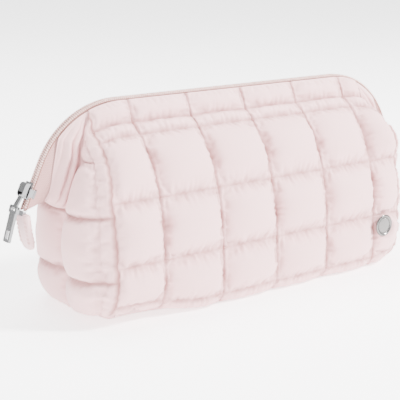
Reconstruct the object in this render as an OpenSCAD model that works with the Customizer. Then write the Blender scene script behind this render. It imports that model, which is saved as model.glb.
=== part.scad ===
// Quilted makeup pouch with a wire-frame mouth and one long zip.
// Origin: middle of the base's underside. +X along the zip, -Y is the front, +Z is up.

/* [Body] */
// Length of the front and back panels between the corner seams
body_length = 244; // [180:1:320]
// Depth of the body between the bottom seams of the front and back panels
body_depth = 95.6; // [76:0.2:130]
// Height of the bottom seam above the surface that the pouch stands on
bottom_seam_z = 7.4; // [5:0.2:12]
// Height of the bottom row of squares
bottom_row = 32.1; // [24:0.1:42]
// Height of the middle row of squares
middle_row = 39.8; // [30:0.1:50]
// Rise of the top row of squares, which leans in towards the mouth
top_row = 36.8; // [28:0.1:46]
// How far the seam over the bottom row stands in from the bottom seam
low_seam_in = 1.6; // [0:0.1:5]
// How far the seam over the middle row stands in from the bottom seam
mid_seam_in = 6.9; // [2:0.1:12]
// How far a puffed square stands out from its seams
puff = 7; // [3:0.5:10]
// Thickness of the padded wall from its seams inwards
wall = 6; // [4:0.5:8]

/* [Fabric] */
// Thickness of the outer nylon
nylon = 0.6; // [0.3:0.1:1]
// Thickness of the lining
lining = 0.5; // [0.3:0.1:1]
// Thickness of the base wadding
base_pad = 4; // [2:0.5:6]
// How far the base's flat underside stands in from the bottom seam
base_in = 6; // [4:0.5:9]

/* [Mouth] */
// Distance from the middle of the pouch to the wire channel's lower seam
channel_y = 19; // [17:0.5:24]
// Rise of the wire channel's band
channel_rise = 6.2; // [5:0.1:9]
// Run of the wire channel's band towards the middle
channel_run = 8.3; // [6:0.1:10]
// Rise of the plain band between the wire channel and the zip
band_rise = 11.5; // [8:0.1:18]
// Distance from the middle of the pouch to each side's top edge
rim_y = 3.75; // [3.75:0.05:6]
// Thickness of the top edge
rim_thickness = 2; // [1:0.1:3]
// Puff of the two narrow bands
band_puff = 2; // [0.5:0.1:3]
// Height of the line that both halves of the mouth turn about
mouth_pivot_z = 80; // [76:0.5:84]

/* [Wire frame] */
// Radius of the spring wire
wire_r = 1.2; // [0.8:0.1:1.6]
// Radius of the cover on each wire tip
wire_tip_r = 1.7; // [1.4:0.1:2]
// Length of the cover on each wire tip
wire_tip_length = 6; // [4:0.5:10]
// Clearance round the wire in its channel
wire_clearance = 0.15; // [0.05:0.05:0.3]

/* [Zip] */
// Radius of the zip's turn over each upper corner
zip_corner_r = 61; // [40:1:80]
// How far the centre of that turn stands in from the corner seam
zip_corner_in = 29; // [20:1:40]
// Slope of the zip down each end
tail_angle = 65; // [55:1:75]
// Straight length of the zip below each turn
tail_length = 30.5; // [29:0.5:40]
// Height of the coil above the top edge
coil_rise = 2.9; // [2:0.1:4]
// Half thickness of the coil
coil_half = 1.4; // [1.2:0.1:1.5]
// Distance from the middle to the outer side of each coil
coil_y = 2.9; // [2.9:0.05:3]
// Half of the gap between the two coils
coil_gap = 0.2; // [0.1:0.05:0.4]
// Width of each zip tape below the coil
tape_width = 11; // [8:0.5:11]
// Thickness of each zip tape
tape_thickness = 0.6; // [0.4:0.1:0.6]
// Gap between the coil's end and the end stop
stop_gap = 0.4; // [0.3:0.1:1]

/* [Slider and pull] */
// Distance from the end of the zip's turn down to the middle of the slider
slider_at = 18; // [16:0.5:19]
// Length of the slider
slider_length = 11; // [10:0.5:12]
// Width of the slider's outer plate
slider_width = 9.4; // [9.2:0.1:10]
// Clearance between the slider and the coil
slider_clearance = 0.4; // [0.3:0.05:0.5]
// Thickness of the slider's plates
plate = 1.1; // [0.8:0.1:1.4]
// Width of the bridge on the slider
bridge_width = 7; // [6.8:0.1:7.4]
// Height of the bridge over the outer plate
bridge_rise = 3.5; // [3.4:0.1:4]
// Width of the pull link
link_width = 4.4; // [4:0.1:4.4]
// Distance between the pull link's two pivots
link_length = 8.6; // [8:0.1:10]
// Thickness of the pull link
link_thickness = 1.1; // [0.9:0.1:1.3]
// Lean of the hanging link from straight down
link_lean = 35.5; // [33:0.5:40]
// Radius of the link's pivot pins
pin_r = 0.55; // [0.45:0.05:0.6]
// Running clearance of a pin in its bore
pin_clearance = 0.06; // [0.03:0.01:0.1]
// Length of the pull below its pivot
pull_length = 22; // [18:0.5:30]
// Width of the pull's bar
pull_width = 7; // [6:0.1:8]
// Width of the pull's head
pull_head = 9.2; // [9:0.1:11]
// Thickness of the pull's bar
pull_thickness = 1.8; // [1.4:0.1:2]
// Lean of the hanging pull from straight down
pull_lean = 17.2; // [14:0.2:20]

/* [End tabs] */
// Length of each folded end tab
tab_length = 25; // [18:0.5:32]
// Width of each end tab
tab_width = 13; // [10:0.5:15]
// Thickness of each end tab
tab_thickness = 4; // [3.8:0.1:5]
// Lean of each end tab from straight down
tab_lean = 9; // [5:0.5:14]

/* [Badge] */
// Diameter of the badge
badge_d = 16; // [12:0.5:20]
// Thickness of the badge
badge_thickness = 1.6; // [1:0.1:2]
// Distance of the badge's centre from the middle of the front
badge_x = 104.3; // [40:0.1:108]
// Height of the badge's centre
badge_z = 32; // [26:0.5:34]

/* [Hidden] */
$fn = 48;

fabric_colour = [0.93, 0.87, 0.875];
inside_colour = [0.87, 0.8, 0.8];
wadding_colour = [0.97, 0.96, 0.95];
coil_colour = [0.85, 0.7, 0.72];
metal_colour = [0.75, 0.75, 0.76];
wire_colour = [0.5, 0.5, 0.52];

body_gap = 0.5;        // clearance between soft solids on different bodies
touch = 0.05;          // clearance between pieces that lie on each other
pleat_r = 1;
pleat_top = [4, 14];   // a pleat's upper end, from the channel's lower seam
arc_steps = 8;
half_length = body_length / 2;
half_depth = body_depth / 2;
wall_end_in = 1;       // from a corner seam to the end of the long walls
wall_length = body_length - 2 * wall_end_in;
top_row_length = wall_length - 2 * wall_end_in;
cut = 1;               // how far a cutting shape runs past what it cuts

// Section of one long side, as [distance from the middle plane, height]
hem = [half_depth - base_in, nylon];
seam_0 = [half_depth, bottom_seam_z];
seam_1 = [half_depth - low_seam_in, bottom_seam_z + bottom_row];
seam_2 = [half_depth - mid_seam_in, bottom_seam_z + bottom_row + middle_row];
seam_3 = [channel_y, seam_2[1] + top_row];
seam_4 = [channel_y - channel_run, seam_3[1] + channel_rise];
rim_z = seam_4[1] + band_rise;
rim = [rim_y + rim_thickness, rim_z];
hem_puff = 1.5;

function unit(v) = v / norm(v);
function outward(a, b) = let (d = unit(b - a)) [d[1], -d[0]];
function bulge(a, b, rise) = [
    for (i = [0 : arc_steps])
        let (t = i / arc_steps)
        a + (b - a) * t + outward(a, b) * rise * sin(180 * t)
];
function moved(points, by) = [for (p = points) p + by];
function reversed(points) = [for (i = [len(points) - 1 : -1 : 0]) points[i]];

top_in = -outward(seam_2, seam_3);
fold_end = seam_3 - unit(seam_3 - seam_2) * body_gap;
lower_skin = concat(bulge(hem, seam_0, hem_puff), bulge(seam_0, seam_1, puff), bulge(seam_1, seam_2, puff));
lower_inner = [seam_2 - [wall, 0], seam_1 - [wall, 0], seam_0 - [wall, 0]];
fold_skin = bulge(seam_2, fold_end, puff);
fold_inner = [fold_end + top_in * wall, seam_2 - [wall, 0]];
fold_foot = [0, touch];
fold_nylon = [-nylon, 0];
fold_gap = [-touch, 0];
fold_lining = [-lining, 0];

// Zip line, as [x, z] on the right-hand half
coil_z = rim_z + coil_rise;
turn_x = half_length - zip_corner_in;
turn_z = coil_z - zip_corner_r;
tail_dir = [cos(tail_angle), -sin(tail_angle)];
tail_out = [sin(tail_angle), cos(tail_angle)];
turn_steps = 14;
rod_sides = 10;
function turn_point(angle, off) = [turn_x, turn_z] + (zip_corner_r + off) * [sin(angle), cos(angle)];
function tail_point(along, off) = turn_point(tail_angle, 0) + tail_dir * along + tail_out * off;
function right_zip(off, along) = concat(
    [for (i = [0 : turn_steps]) turn_point(tail_angle * i / turn_steps, off)],
    [tail_point(along, off)]
);
function flipped(points) = [for (p = reversed(points)) [-p[0], p[1]]];
function zip_line(off, along) = concat(flipped(right_zip(off, along)), right_zip(off, along));

// Section of the bands between the top row and the zip
band_lip = 2;          // how far the band's inner face starts below the upper seam
band_over_wall = 0.4;  // how far the band reaches past the top row's wall
band_section = concat(
    bulge(seam_3, seam_4, band_puff),
    bulge(seam_4, rim, band_puff),
    [[rim_y, rim_z], [rim_y, seam_4[1] - band_lip], seam_3 + top_in * (wall + band_over_wall)]
);

// Plan of one padded end: two lobes that meet in a valley on the middle plane
gusset_from = wall_length / 2 + touch;
gusset_half = half_depth - 1;
lobe = 16;
valley_in = 1;
gusset_thickness = 6;
lobe_corner = [half_length + 1, gusset_half];
lobe_valley = [half_length - valley_in + gusset_thickness, 0];
function lobe_line(inset) = let (
    one = bulge([lobe_corner[0], -lobe_corner[1]], lobe_valley, lobe),
    two = bulge(lobe_valley, lobe_corner, lobe)
) moved(concat(one, [for (i = [1 : arc_steps]) two[i]]), [-inset, 0]);
gusset_bottom = nylon + base_pad;
gusset_below_pivot = 4.6;
gusset_top = mouth_pivot_z - gusset_below_pivot;

// Fin: the flat end of the mouth, as [x, z] on the right-hand half
fin_top = [half_length - 0.2, rim_z - 4.1];
fin_edge_in = 12.2;     // from the zip line to the fin's tip, square to it
tail_to_pivot = (tail_point(0, 0)[1] - mouth_pivot_z) / sin(tail_angle);
fin_tip = [tail_point(tail_to_pivot, 0)[0] - fin_edge_in / sin(tail_angle), mouth_pivot_z];
fin_foot = [half_length + 3, mouth_pivot_z];
fin_inner_x = half_length - 3;
fin_neck_z = seam_3[1] - 4;
band_half = fin_inner_x - 5;
fin_half = 7;
fin_slit = 0.4;
zip_slot_y = rim_y + 0.1;
tape_slack = 0.5;       // room below each zip tape
fin_slice = 0.2;

// Wire: along the channel, round the corner and down the fin, on the front right
wire_in = 6.8;          // from the channel's lower seam to the wire
wire_y = channel_y - wire_in;
wire_z = seam_3[1] + 0.9;
wire_end_in = 5;        // from the fin's tip to the wire's end
wire_end_rise = 3;      // of the wire's end over the line that the mouth turns about
wire_leg_y = 3.7;
// The bend over a corner, as [run past the corner seam, depth over the leg, drop below the channel]
wire_bend = [[-4, 4.5, 4], [-0.5, 1, 8], [2, 0, 12]];
wire_foot = [fin_tip[0] - wire_end_in, -wire_leg_y, mouth_pivot_z + wire_end_rise];
wire_right = concat(
    [[half_length - 16, -wire_y, wire_z], [half_length - 9, -wire_y + 0.6, wire_z - 1]],
    [for (b = wire_bend) [half_length + b[0], -wire_leg_y - b[1], wire_z - b[2]]],
    [wire_foot]
);
wire_knee = wire_right[len(wire_right) - 2];
wire_left = [for (p = reversed(wire_right)) [-p[0], p[1], p[2]]];
wire_route = concat(wire_left, wire_right);

// Slider
inner_plate_half = coil_y - 0.2;
tape_y = coil_y + touch;
plate_from = coil_half + slider_clearance;
post_at = -3.8;
post_length = 2.4;
post_half = 0.8;
flange_clearance = 0.35;
flange_inner = tape_y + tape_thickness + flange_clearance;
nose_in = 1.4;          // how far each end of a plate is narrowed, on each side
heel_taper = 2;         // length of the taper at the lower end
nose_taper = 4;         // length of the taper at the upper end
bridge_in = [0.4, 1.1]; // from the plate's ends to the bridge, lower and upper
bridge_from = plate_from + plate;
bridge_to = bridge_from + bridge_rise;
link_pivot = [-3.8, bridge_from + 1.7];
link_slot_half = link_width / 2 + 0.3;
cheek_half = bridge_width / 2;
barrel_r = 1;
roof = 1;
roof_from = link_pivot[0] + 1.8;
corner_r = 2.2;
slot_floor = 0.3;
slot_end = 1.6;         // how far the link's slot runs past the slider's middle
wire_tip_cap = 0.8;
slider_x = tail_point(slider_at, 0)[0];
slider_z = tail_point(slider_at, 0)[1];
pivot_1 = [slider_x, slider_z] + tail_out * link_pivot[1] - tail_dir * link_pivot[0];
pivot_2 = pivot_1 + link_length * [sin(link_lean), -cos(link_lean)];
pin_half = 3.3;

// Pull
head_above = 1.6;
head_below = 3.6;
head_thickness = 2.2;
pull_slot = [3.4, 5.5];
pull_slot_from_end = 1.6;
notch_below = 2.2;

// End tabs
tab_at = tail_length + stop_gap;
tab_end_r = tab_width / 2;
tab_from = 1;           // from the end stop's line to the tab's sewn edge
stop_size = [5.6, 2.2, 3];

// Badge
badge_out = 3.4;        // from the seam's plane to the badge's back
badge_seat_y = seam_1[0] + badge_out;
prong = [1.4, 0.5];
prong_spread = 4;
washer_d = 12;
washer_thickness = 0.5;
washer_y = seam_1[0] - wall;

// A section swept along the length of the back; mirrored for the front
module along(length) {
    translate([-length / 2, 0, 0])
        rotate([90, 0, 90])
            linear_extrude(length)
                children();
}

// An outline in the plane of the zip, from one distance behind the middle plane to another
module upright(from, to) {
    translate([0, to, 0])
        rotate([90, 0, 0])
            linear_extrude(to - from)
                children();
}

module front() {
    mirror([0, 1, 0])
        children();
}

module left() {
    mirror([1, 0, 0])
        children();
}

// A round bar swept through points that never run along Y
module rod(points, r) {
    last = len(points) - 1;
    rings = [
        for (i = [0 : last])
            let (
                t = unit(points[min(i + 1, last)] - points[max(i - 1, 0)]),
                n = unit(cross(t, [0, 1, 0])),
                b = cross(t, n)
            )
            for (k = [0 : rod_sides - 1])
                points[i] + r * (n * cos(360 * k / rod_sides) + b * sin(360 * k / rod_sides))
    ];
    sides = [
        for (i = [0 : last - 1])
            for (k = [0 : rod_sides - 1])
                let (m = (k + 1) % rod_sides)
                [i * rod_sides + k, (i + 1) * rod_sides + k, (i + 1) * rod_sides + m, i * rod_sides + m]
    ];
    ends = [
        [for (k = [0 : rod_sides - 1]) k],
        [for (k = [rod_sides - 1 : -1 : 0]) last * rod_sides + k]
    ];
    polyhedron(points = rings, faces = concat(sides, ends));
}

// Places something on the left tail: +X up the tail, +Z out of the bag
module on_left_tail(down) {
    place = tail_point(down, 0);
    translate([-place[0], 0, place[1]])
        rotate([0, -tail_angle, 0])
            children();
}

module base_panel() {
    color(fabric_colour)
        translate([-wall_length / 2, -hem[0], 0])
            cube([wall_length, 2 * hem[0], nylon]);
}

module base_wadding() {
    pad_half = hem[0] - nylon - touch;
    color(wadding_colour)
        translate([-wall_length / 2, -pad_half, nylon])
            cube([wall_length, 2 * pad_half, base_pad]);
}

module side_panel() {
    color(fabric_colour)
        along(wall_length)
            polygon(concat(lower_skin, reversed(moved(lower_skin, [-nylon, 0]))));
}

module side_wadding() {
    color(wadding_colour)
        along(wall_length)
            polygon(concat(moved(lower_skin, [-nylon, 0]), lower_inner));
}

module badge_seat() {
    translate([badge_x, -badge_seat_y, badge_z])
        rotate([90, 0, 0])
            cylinder(h = 2 * puff, d = badge_d + 2 * touch);
}

module badge_prongs(grow) {
    size = prong + [2 * grow, 2 * grow];
    for (side = [-1, 1])
        translate([badge_x + side * prong_spread - size[0] / 2, -badge_seat_y, badge_z - size[1] / 2])
            cube([size[0], badge_seat_y - washer_y, size[1]]);
}

module washer_space(grow) {
    translate([badge_x, -washer_y + grow, badge_z])
        rotate([90, 0, 0])
            cylinder(h = washer_thickness + 2 * grow, d = washer_d + 2 * grow);
}

module front_panel() {
    difference() {
        front()
            side_panel();
        badge_seat();
        badge_prongs(touch);
    }
}

module front_wadding() {
    difference() {
        front()
            side_wadding();
        badge_seat();
        badge_prongs(touch);
        washer_space(touch);
    }
}

module gusset_shape(points) {
    translate([0, 0, gusset_bottom])
        linear_extrude(gusset_top - gusset_bottom)
            polygon(points);
}

module right_gusset() {
    color(fabric_colour)
        gusset_shape(concat(lobe_line(0), reversed(lobe_line(nylon))));
}

module right_gusset_wadding() {
    inner = [[gusset_from, gusset_half], [gusset_from, -gusset_half]];
    color(wadding_colour)
        gusset_shape(concat(lobe_line(nylon), inner));
}

module lining_bag() {
    floor_z = nylon + base_pad + touch;
    floor_half = min(seam_0[0] - wall, hem[0]) - nylon - touch;
    end_x = wall_length / 2 - lining;
    end_depth = 2 * (seam_2[0] - wall);
    color(inside_colour)
        difference() {
            union() {
                for (side = [0, 1])
                    mirror([0, side, 0])
                        along(wall_length)
                            polygon(concat(
                                moved(lower_inner, fold_gap),
                                [[floor_half, floor_z], [floor_half - lining, floor_z]],
                                reversed(moved(lower_inner, fold_gap + fold_lining))
                            ));
                translate([-wall_length / 2, -floor_half, floor_z])
                    cube([wall_length, 2 * floor_half, lining]);
                for (side = [-1, 1])
                    translate([side * end_x - lining / 2, -end_depth / 2, floor_z])
                        cube([lining, end_depth, gusset_top - floor_z]);
            }
            washer_space(touch);
        }
}

module top_row() {
    color(fabric_colour)
        along(top_row_length)
            polygon(concat(moved(fold_skin, fold_foot), reversed(moved(fold_skin, fold_foot + fold_nylon))));
}

module top_row_wadding() {
    color(wadding_colour)
        along(top_row_length)
            polygon(concat(
                moved(fold_skin, fold_foot + fold_nylon + fold_gap),
                moved(fold_inner, fold_foot)
            ));
}

module top_row_lining() {
    inner = moved(fold_inner, fold_foot + fold_gap);
    color(inside_colour)
        along(top_row_length)
            polygon(concat(inner, reversed(moved(inner, fold_lining))));
}

// The slack of one end between the lobes and the mouth, on the back half
module half_pleat() {
    low = gusset_top + touch;
    end = wall_length / 2 + touch + pleat_r;
    color(fabric_colour)
        hull() {
            translate([end, seam_2[0] - pleat_r, low])
                cylinder(h = pleat_r, r = pleat_r, $fn = 16);
            translate([max(fin_foot[0], end), fin_half + body_gap + pleat_r, low])
                cylinder(h = pleat_r, r = pleat_r, $fn = 16);
            translate([end, channel_y + pleat_top[0], seam_3[1] - pleat_top[1]])
                sphere(r = pleat_r, $fn = 16);
        }
}

module gusset_pleats() {
    half_pleat();
    mirror([0, 1, 0])
        half_pleat();
}

module wire_channel() {
    front()
        rod(wire_route, wire_r + wire_clearance);
}

module mouth_band() {
    color(fabric_colour)
        difference() {
            along(2 * band_half)
                polygon(band_section);
            wire_channel();
        }
}

module zip_slot() {
    upright(-zip_slot_y, zip_slot_y)
        polygon(concat(
            zip_line(coil_half + slider_clearance, tail_length + cut),
            reversed(zip_line(-tape_width - tape_slack, tail_length + cut))
        ));
}

module right_fin() {
    color(fabric_colour)
        difference() {
            union() {
                hull() {
                    translate([band_half + touch, 0, 0])
                        rotate([90, 0, 90])
                            linear_extrude(fin_slice)
                                polygon(band_section);
                    upright(fin_slit, fin_half)
                        translate([fin_inner_x, fin_neck_z])
                            square([fin_slice, fin_top[1] - fin_neck_z]);
                }
                upright(fin_slit, fin_half)
                    polygon([
                        [fin_inner_x, fin_top[1]], fin_top, fin_tip, fin_foot, [fin_inner_x, fin_neck_z]
                    ]);
            }
            zip_slot();
            wire_channel();
            wire_tip(wire_tip_r + wire_clearance);
        }
}

module wire_tip(r) {
    lean = unit(wire_knee - wire_foot);
    front()
        rod([wire_foot - lean * wire_tip_cap, wire_foot + lean * wire_tip_length], r);
}

module side_wire() {
    color(wire_colour)
        front()
            rod(wire_route, wire_r);
}

module side_wire_tips() {
    color(wadding_colour)
        for (side = [0, 1])
            mirror([side, 0, 0])
                difference() {
                    wire_tip(wire_tip_r);
                    front()
                        rod([wire_foot, wire_knee], wire_r + touch);
                }
}

module zip_tape() {
    color(coil_colour)
        upright(tape_y, tape_y + tape_thickness)
            polygon(concat(
                zip_line(-coil_half / 2, tail_length),
                reversed(zip_line(-tape_width, tail_length))
            ));
}

module post_space() {
    half = [post_length / 2 + slider_clearance, post_half + slider_clearance, coil_half + cut];
    on_left_tail(slider_at)
        translate([post_at, 0, 0] - half)
            cube(2 * half);
}

module zip_coil() {
    color(coil_colour)
        difference() {
            upright(coil_gap, coil_y)
                polygon(concat(
                    zip_line(coil_half, tail_length),
                    reversed(zip_line(-coil_half, tail_length))
                ));
            post_space();
        }
}

module slider_outline(half) {
    nose = half - nose_in;
    end = slider_length / 2;
    polygon([
        [-end, -nose], [-end + heel_taper, -half], [end - nose_taper, -half], [end, -nose],
        [end, nose], [end - nose_taper, half], [-end + heel_taper, half], [-end, nose]
    ]);
}

module slider_body() {
    half = slider_width / 2;
    flange = half - flange_inner;
    color(metal_colour)
        on_left_tail(slider_at) {
            translate([0, 0, plate_from])
                linear_extrude(plate)
                    slider_outline(half);
            for (side = [-1, 1])
                translate([
                    -slider_length / 2 + heel_taper,
                    side * (flange_inner + flange / 2) - flange / 2,
                    -slider_clearance
                ])
                    cube([slider_length - heel_taper - nose_taper, flange, plate_from + slider_clearance]);
            translate([0, 0, -plate_from - plate])
                linear_extrude(plate)
                    slider_outline(inner_plate_half);
            translate([post_at - post_length / 2, -post_half, -plate_from - plate])
                cube([post_length, 2 * post_half, 2 * plate_from + plate]);
        }
}

module bridge_profile() {
    from = -slider_length / 2 + bridge_in[0];
    to = slider_length / 2 - bridge_in[1];
    square_top = bridge_to - corner_r;
    intersection() {
        translate([from, bridge_from])
            square([to - from, bridge_rise]);
        union() {
            translate([from, bridge_from])
                square([to - from, square_top - bridge_from]);
            translate([from + corner_r, square_top])
                square([to - from - 2 * corner_r, corner_r]);
            for (x = [from + corner_r, to - corner_r])
                translate([x, square_top])
                    circle(r = corner_r);
        }
    }
}

module slider_bridge() {
    color(metal_colour)
        on_left_tail(slider_at)
            difference() {
                translate([0, cheek_half, 0])
                    rotate([90, 0, 0])
                        linear_extrude(bridge_width)
                            bridge_profile();
                translate([-slider_length, -link_slot_half, bridge_from + slot_floor])
                    cube([slider_length + slot_end, 2 * link_slot_half, bridge_rise - slot_floor - roof]);
                translate([-slider_length, -link_slot_half, bridge_from + slot_floor])
                    cube([slider_length + roof_from, 2 * link_slot_half, bridge_rise]);
                translate([link_pivot[0], cheek_half + cut, link_pivot[1]])
                    rotate([90, 0, 0])
                        cylinder(h = bridge_width + 2 * cut, r = pin_r + pin_clearance);
            }
}

module cross_pin(r, half) {
    translate([0, half, 0])
        rotate([90, 0, 0])
            cylinder(h = 2 * half, r = r);
}

module pull_link() {
    color(metal_colour)
        translate([-pivot_1[0], 0, pivot_1[1]])
            rotate([0, link_lean, 0]) {
                for (z = [0, -link_length])
                    translate([0, 0, z]) {
                        cross_pin(barrel_r, link_width / 2);
                        cross_pin(pin_r, pin_half);
                    }
                translate([-link_thickness / 2, -link_width / 2, -link_length])
                    cube([link_thickness, link_width, link_length]);
            }
}

module pull_tab() {
    end_r = 1;
    half = pull_width / 2;
    color(metal_colour)
        translate([-pivot_2[0], 0, pivot_2[1]])
            rotate([0, pull_lean, 0])
                difference() {
                    union() {
                        translate([-head_thickness / 2, -pull_head / 2, -head_below])
                            cube([head_thickness, pull_head, head_below]);
                        cross_pin(head_thickness / 2, pull_head / 2);
                        translate([-pull_thickness / 2, -half, -pull_length + end_r])
                            cube([pull_thickness, pull_width, pull_length - head_below - end_r]);
                        translate([-pull_thickness / 2, -half + end_r, -pull_length])
                            cube([pull_thickness, pull_width - 2 * end_r, end_r]);
                        for (side = [-1, 1])
                            translate([-pull_thickness / 2, side * (half - end_r), -pull_length + end_r])
                                rotate([0, 90, 0])
                                    cylinder(h = pull_thickness, r = end_r);
                    }
                    translate([-head_thickness, -link_slot_half, -notch_below])
                        cube([2 * head_thickness, 2 * link_slot_half, notch_below + head_above + cut]);
                    cross_pin(pin_r + pin_clearance, pull_head);
                    translate([-head_thickness, -pull_slot[0] / 2, -pull_length + pull_slot_from_end])
                        cube([2 * head_thickness, pull_slot[0], pull_slot[1]]);
                }
}

module end_stop(grow) {
    on_left_tail(tab_at)
        translate([-stop_size[2] - grow, -stop_size[0] / 2 - grow, -stop_size[1] / 2 - grow])
            cube([stop_size[2] + grow, stop_size[0] + 2 * grow, stop_size[1] + 2 * grow]);
}

module end_stop_plate() {
    color(metal_colour)
        end_stop(0);
}

module end_tab() {
    place = tail_point(tab_at, 0);
    color(fabric_colour)
        difference() {
            translate([-place[0], 0, place[1]])
                rotate([0, tab_lean, 0])
                    rotate([0, 90, 0])
                        translate([0, 0, -tab_thickness / 2])
                            linear_extrude(tab_thickness) {
                                translate([tab_from, -tab_width / 2])
                                    square([tab_length - tab_from - tab_end_r, tab_width]);
                                translate([tab_length - tab_end_r, 0])
                                    circle(r = tab_end_r);
                            }
            end_stop(touch);
        }
}

module badge() {
    color(metal_colour) {
        translate([badge_x, -badge_seat_y, badge_z])
            rotate([90, 0, 0])
                cylinder(h = badge_thickness, d = badge_d);
        badge_prongs(0);
    }
}

module badge_washer() {
    color(metal_colour)
        difference() {
            washer_space(0);
            badge_prongs(touch);
        }
}

base_panel();
base_wadding();
front_panel();
front_wadding();
side_panel();  // back_panel
side_wadding();  // back_wadding
left() right_gusset();  // left_gusset
left() right_gusset_wadding();  // left_gusset_wadding
right_gusset();
right_gusset_wadding();
lining_bag();
front() top_row();  // front_top_row
front() top_row_wadding();  // front_top_row_wadding
front() top_row_lining();  // front_top_row_lining
top_row();  // back_top_row
top_row_wadding();  // back_top_row_wadding
top_row_lining();  // back_top_row_lining
left() gusset_pleats();  // left_gusset_pleats
gusset_pleats();  // right_gusset_pleats
end_tab();  // left_end_tab
left() end_tab();  // right_end_tab
end_stop_plate();  // left_end_stop
left() end_stop_plate();  // right_end_stop
badge();
badge_washer();
front() mouth_band();  // front_mouth_band
left() front() right_fin();  // front_left_fin
front() right_fin();  // front_right_fin
front() side_wire();  // front_wire
front() side_wire_tips();  // front_wire_tips
front() zip_tape();  // front_zip_tape
front() zip_coil();  // front_zip_coil
mouth_band();  // back_mouth_band
left() right_fin();  // back_left_fin
right_fin();  // back_right_fin
side_wire();  // back_wire
side_wire_tips();  // back_wire_tips
zip_tape();  // back_zip_tape
zip_coil();  // back_zip_coil
slider_body();
slider_bridge();
pull_link();
pull_tab();
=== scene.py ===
"""Looks of a quilted makeup pouch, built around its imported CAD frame.

Sizes are in millimetres and turn into metres where a mesh is made. The pouch's section, zip line and
ends repeat the CAD source's own values. The back is the front turned half way round the Z axis.
"""

import math

import bmesh
import bpy
import numpy as np
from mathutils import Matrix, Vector


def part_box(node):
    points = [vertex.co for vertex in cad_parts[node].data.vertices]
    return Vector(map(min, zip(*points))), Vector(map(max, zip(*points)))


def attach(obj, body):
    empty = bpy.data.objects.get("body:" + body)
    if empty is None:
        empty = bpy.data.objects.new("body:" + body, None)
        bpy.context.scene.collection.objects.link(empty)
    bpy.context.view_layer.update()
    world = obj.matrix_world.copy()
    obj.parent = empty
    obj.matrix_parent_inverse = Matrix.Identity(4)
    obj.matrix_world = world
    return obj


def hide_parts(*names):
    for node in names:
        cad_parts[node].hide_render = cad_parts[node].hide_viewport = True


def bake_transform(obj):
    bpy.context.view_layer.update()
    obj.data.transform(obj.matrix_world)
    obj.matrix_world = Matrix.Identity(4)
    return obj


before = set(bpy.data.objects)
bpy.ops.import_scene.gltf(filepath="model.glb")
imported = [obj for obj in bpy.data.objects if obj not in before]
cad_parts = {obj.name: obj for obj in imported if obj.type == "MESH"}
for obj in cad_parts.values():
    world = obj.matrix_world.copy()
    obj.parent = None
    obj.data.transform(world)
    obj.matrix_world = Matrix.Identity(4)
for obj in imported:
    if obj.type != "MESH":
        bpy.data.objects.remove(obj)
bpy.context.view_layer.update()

MM = 0.001
FRONT, BACK = 1, -1
LEFT, RIGHT = -1, 1

# ---- sizes shared with the CAD source
# Section of the front, as (distance in front of the middle plane, height)
HEM = (40.8, 0.6)
SEAM_0 = (46.9, 8.2)
SEAM_1 = (46.2, 39.5)
SEAM_2 = (40.9, 79.3)
SEAM_3 = (19.0, 116.1)
SEAM_4 = (10.7, 122.3)
RIM = (4.9, 136.0)
SECTION = [HEM, SEAM_0, SEAM_1, SEAM_2, SEAM_3, SEAM_4, RIM]
HALF_LENGTH = 122.0

# Zip line: a level run, a turn over each corner and a straight tail
COIL_Z = 136.7
TURN_X = 93.0
TURN_R = 61.0
TURN_Z = COIL_Z - TURN_R
TAIL_ANGLE = math.radians(65)
TAIL_LENGTH = 30.5
RIM_DROP = COIL_Z - RIM[1]

# ---- quilting
COLUMN_SEAMS = [-HALF_LENGTH, -86.7, -40.7, 5.3, 51.3, 97.3, HALF_LENGTH]
CLOTH_STEP = 1.4
# How far the section bows out between its seams, seams included, from the hem to the rim
BOW = [0.5, 0.6, 1.2, 2.6, 0.4, 0.6]
FIRST_PUFF = 3.6
STITCH_LENGTH = 4.4
PUCKER_ALONG = 1.5
PUCKER_DEEP = 0.8
COLUMN_SEAM_DEEP = 2.0
CALM_FROM = 4.0
CALM_OVER = 8.0
CALM_PASSES = 24
CALM_STEP = 0.7
RUFFLE_LENGTH = 3.8
RUFFLE_HIGH = 1.0
RUFFLE_FROM_SEAM = 2.0
RUFFLE_REACH = 5

# Depth of a fold that takes the whole painted fold shade, and how strongly folds and seams are darkened with
# painted shade
FOLD_DEPTH = 1.6
FOLD_SHADING = 0.34
ROW_SEAM_SHADING = 0.7
COLUMN_SEAM_SHADING = 1.0
CORNER_SEAM_SHADING = 0.95
SEAM_SHADING_WIDTH = 1.45
CORNER_SHADING_WIDTH = 0.85

# The ends of the top row: how far they bow out and reach, left and right
END_FROM = 97
END_OVER = 25
END_BOW = (3.0, 8.0)
END_LONGER = (0.0, 1.0)
# The lower corners, left and right
CORNER_FROM = (50.0, 96.0)
CORNER_OVER = (58.0, 26.0)
CORNER_TUCK = (6.0, 3.5)
CORNER_LIFT = (6.2, 2.6)
CORNER_HEIGHT = 30.0

# Height up to which the flat strip runs beside the corner seams
UP_TO_STRIP = 118
SIM_SCALE = 10.0
FAR = 99.0


def smooth(t):
    t = np.clip(t, 0, 1)
    return t * t * (3 - 2 * t)


def run_marks(points):
    """How far along a line each of its points is."""
    return [0.0] + list(np.cumsum([math.dist(a, b) for a, b in zip(points, points[1:])]))


def points_at(at, marks, points):
    """Places along a line whose points stand at the marks."""
    return np.stack([np.interp(at, marks, column) for column in np.transpose(points)], -1)


def circle(count):
    return np.linspace(0, 2 * math.pi, count, endpoint=False)


def split(stops, step):
    """Places from the first stop to the last, about a step apart, and the index of each stop."""
    cells = [max(2, round((b - a) / step)) for a, b in zip(stops, stops[1:])]
    places = [stops[0]]
    for a, b, n in zip(stops, stops[1:], cells):
        places += [a + (b - a) * i / n for i in range(1, n + 1)]
    return np.array(places), [0] + list(np.cumsum(cells))


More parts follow.
